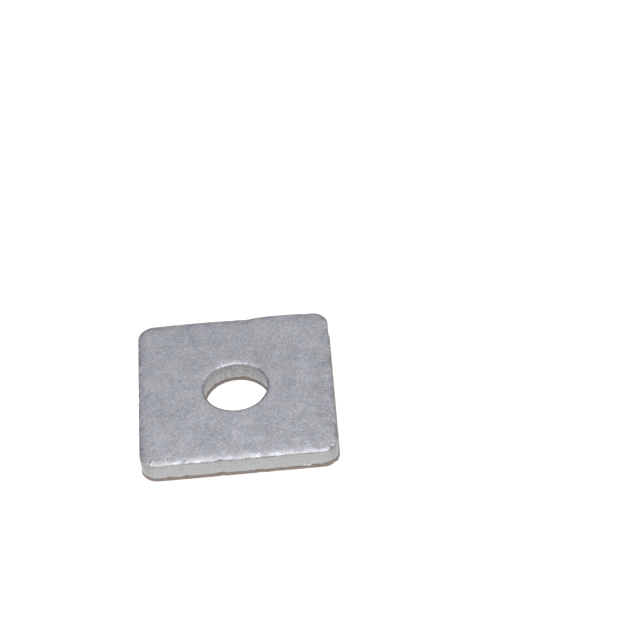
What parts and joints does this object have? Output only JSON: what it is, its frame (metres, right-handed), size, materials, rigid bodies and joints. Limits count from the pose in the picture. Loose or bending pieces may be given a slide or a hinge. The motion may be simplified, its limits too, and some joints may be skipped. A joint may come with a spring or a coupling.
{
  "type": "square plate washer",
  "caption": "Flat square galvanised steel washer with rounded corners and a round bolt hole in the middle, lying on its underside.",
  "frame": {"origin": "centre of the bolt hole at the flat underside, which is the surface that the washer lies on", "axes": "+Z along the hole's axis, out of the top face, whose edges are rolled over; +X and +Y square to the sides"},
  "size_m": [0.04, 0.04, 0.0043],
  "materials": {
    "dull_zinc": "matte"
  },
  "bodies": {
    "root": {"plate_washer": "dull_zinc"}
  },
  "joints": []
}
